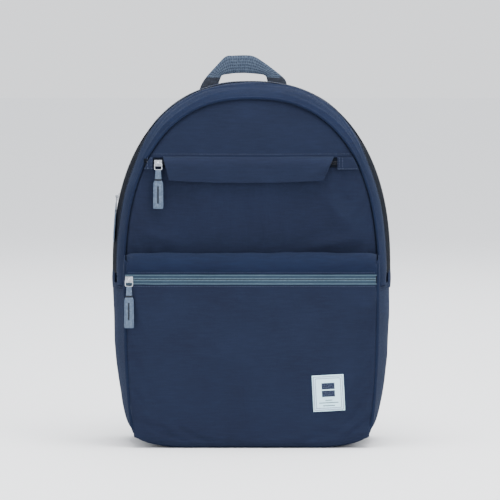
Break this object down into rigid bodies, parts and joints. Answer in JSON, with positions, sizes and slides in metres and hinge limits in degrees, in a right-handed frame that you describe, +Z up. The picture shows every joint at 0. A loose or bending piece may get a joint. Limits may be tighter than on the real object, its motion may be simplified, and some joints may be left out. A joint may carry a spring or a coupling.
{
  "type": "school backpack",
  "caption": "Arch-topped school backpack with a hinged zipped front, a flap-covered upper pocket, a zipped front pocket, grab handle and padded shoulder straps.",
  "frame": {"origin": "middle of the box under the bag, on the surface it stands on", "axes": "+Z up, -Y the front with the pockets, +X to the viewer's right when looking at the front"},
  "size_m": [0.334, 0.1675, 0.4617],
  "materials": {
    "navy_polyester": "fine matt weave",
    "lining": "plain lining",
    "foam": "closed-cell foam",
    "webbing": "ribbed webbing",
    "main_zip": "coil zip tape",
    "pocket_zip": "coil zip tape",
    "slider_metal": "polished nickel plate",
    "buckle_plastic": "moulded acetal",
    "label": "woven label"
  },
  "bodies": {
    "bag": {"back_panel": "navy_polyester", "back_padding": "foam", "back_piping": "navy_polyester", "bottom_panel": "navy_polyester", "front_panel_lower": "navy_polyester", "handle_foot_left": "webbing", "handle_foot_right": "webbing", "label_patch": "label", "laptop_sleeve": "lining", "lower_anchor_left": "navy_polyester", "lower_anchor_right": "navy_polyester", "lower_webbing_left": "webbing", "lower_webbing_right": "webbing", "main_zip_end_left": "main_zip", "main_zip_end_right": "main_zip", "main_zip_rear_half": "main_zip", "pocket_face": "navy_polyester", "pocket_side_left": "navy_polyester", "pocket_side_right": "navy_polyester", "pocket_top_strip": "navy_polyester", "pocket_zip_lower_half": "pocket_zip", "pocket_zip_upper_half": "pocket_zip", "rear_gusset": "navy_polyester", "side_panel_left": "navy_polyester", "side_panel_right": "navy_polyester", "sleeve_binding": "webbing", "strap_yoke": "webbing"},
    "lid": {"front_gusset": "navy_polyester", "front_panel_upper": "navy_polyester", "front_piping": "navy_polyester", "front_yoke": "navy_polyester", "main_zip_front_half": "main_zip", "upper_pocket_pouch": "lining", "upper_zip_lower_half": "lining", "upper_zip_tab_left": "navy_polyester", "upper_zip_tab_right": "navy_polyester", "upper_zip_upper_half": "lining"},
    "flap": {"zip_flap": "navy_polyester"},
    "main_slider": {"main_slider": "slider_metal"},
    "main_pull_ring": {"main_pull_ring": "slider_metal"},
    "main_pull_tab": {"main_pull_tab": "webbing"},
    "pocket_slider": {"pocket_slider": "slider_metal"},
    "pocket_pull_ring": {"pocket_pull_ring": "slider_metal"},
    "pocket_pull_tab": {"pocket_pull_tab": "webbing"},
    "upper_slider": {"upper_slider": "slider_metal"},
    "upper_pull_ring": {"upper_pull_ring": "slider_metal"},
    "upper_pull_tab": {"upper_pull_tab": "webbing"},
    "grab_handle": {"grab_handle": "webbing"},
    "strap_left": {"strap_pad_left": "navy_polyester", "strap_webbing_left": "webbing"},
    "strap_right": {"strap_pad_right": "navy_polyester", "strap_webbing_right": "webbing"},
    "buckle_left": {"strap_buckle_left": "buckle_plastic", "strap_tail_left": "webbing"},
    "buckle_right": {"strap_buckle_right": "buckle_plastic", "strap_tail_right": "webbing"}
  },
  "joints": [
    {"name": "front_opens", "type": "hinge", "parent": "bag", "child": "lid", "pos_m": [0, -0.049, 0.232], "axis": [1, 0, 0], "range_deg": [0, 45]},
    {"name": "flap_lifts", "type": "hinge", "parent": "lid", "child": "flap", "pos_m": [0, -0.051, 0.35], "axis": [-1, 0, 0], "range_deg": [0, 120]},
    {"name": "main_slider_travel", "type": "hinge", "parent": "lid", "child": "main_slider", "pos_m": [0.11633, 0.0123, 0.22971], "axis": [0, 1, 0], "range_deg": [-3, 6]},
    {"name": "main_ring_swing", "type": "hinge", "parent": "main_slider", "child": "main_pull_ring", "pos_m": [-0.16242, 0.0123, 0.29503], "axis": [-0.0253, 0.9126, -0.408], "range_deg": [0, 100]},
    {"name": "main_tab_swing", "type": "hinge", "parent": "main_pull_ring", "child": "main_pull_tab", "pos_m": [-0.16286, 0.00911, 0.28792], "axis": [-0.0253, 0.9126, -0.408], "range_deg": [0, 60]},
    {"name": "pocket_slider_travel", "type": "slide", "parent": "bag", "child": "pocket_slider", "axis": [1, 0, 0], "range_m": [0, 0.287]},
    {"name": "pocket_ring_swing", "type": "hinge", "parent": "pocket_slider", "child": "pocket_pull_ring", "pos_m": [-0.1463, -0.0805, 0.2025], "axis": [-1, 0, 0], "range_deg": [0, 100]},
    {"name": "pocket_tab_swing", "type": "hinge", "parent": "pocket_pull_ring", "child": "pocket_pull_tab", "pos_m": [-0.1463, -0.0808, 0.19471], "axis": [-1, 0, 0], "range_deg": [0, 60]},
    {"name": "upper_slider_travel", "type": "slide", "parent": "lid", "child": "upper_slider", "axis": [1, 0, 0], "range_m": [0, 0.207]},
    {"name": "upper_ring_swing", "type": "hinge", "parent": "upper_slider", "child": "upper_pull_ring", "pos_m": [-0.1116, -0.0529, 0.34], "axis": [-1, 0, 0], "range_deg": [0, 45]},
    {"name": "upper_tab_swing", "type": "hinge", "parent": "upper_pull_ring", "child": "upper_pull_tab", "pos_m": [-0.1116, -0.0529, 0.3322], "axis": [-1, 0, 0], "range_deg": [0, 30]},
    {"name": "handle_folds", "type": "hinge", "parent": "bag", "child": "grab_handle", "pos_m": [0, 0.0668, 0.4183], "axis": [1, 0, 0], "range_deg": [-60, 20], "stiffness_Nm_per_rad": 0.03},
    {"name": "strap_left_swing", "type": "hinge", "parent": "bag", "child": "strap_left", "pos_m": [-0.0452, 0.069, 0.3865], "axis": [1, 0, 0], "range_deg": [0, 12]},
    {"name": "buckle_left_tilt", "type": "hinge", "parent": "strap_left", "child": "buckle_left", "pos_m": [-0.078, 0.0772, 0.132], "axis": [1, 0, 0], "range_deg": [0, 20]},
    {"name": "strap_right_swing", "type": "hinge", "parent": "bag", "child": "strap_right", "pos_m": [0.0452, 0.069, 0.3865], "axis": [1, 0, 0], "range_deg": [0, 12]},
    {"name": "buckle_right_tilt", "type": "hinge", "parent": "strap_right", "child": "buckle_right", "pos_m": [0.078, 0.0772, 0.132], "axis": [1, 0, 0], "range_deg": [0, 20]}
  ]
}
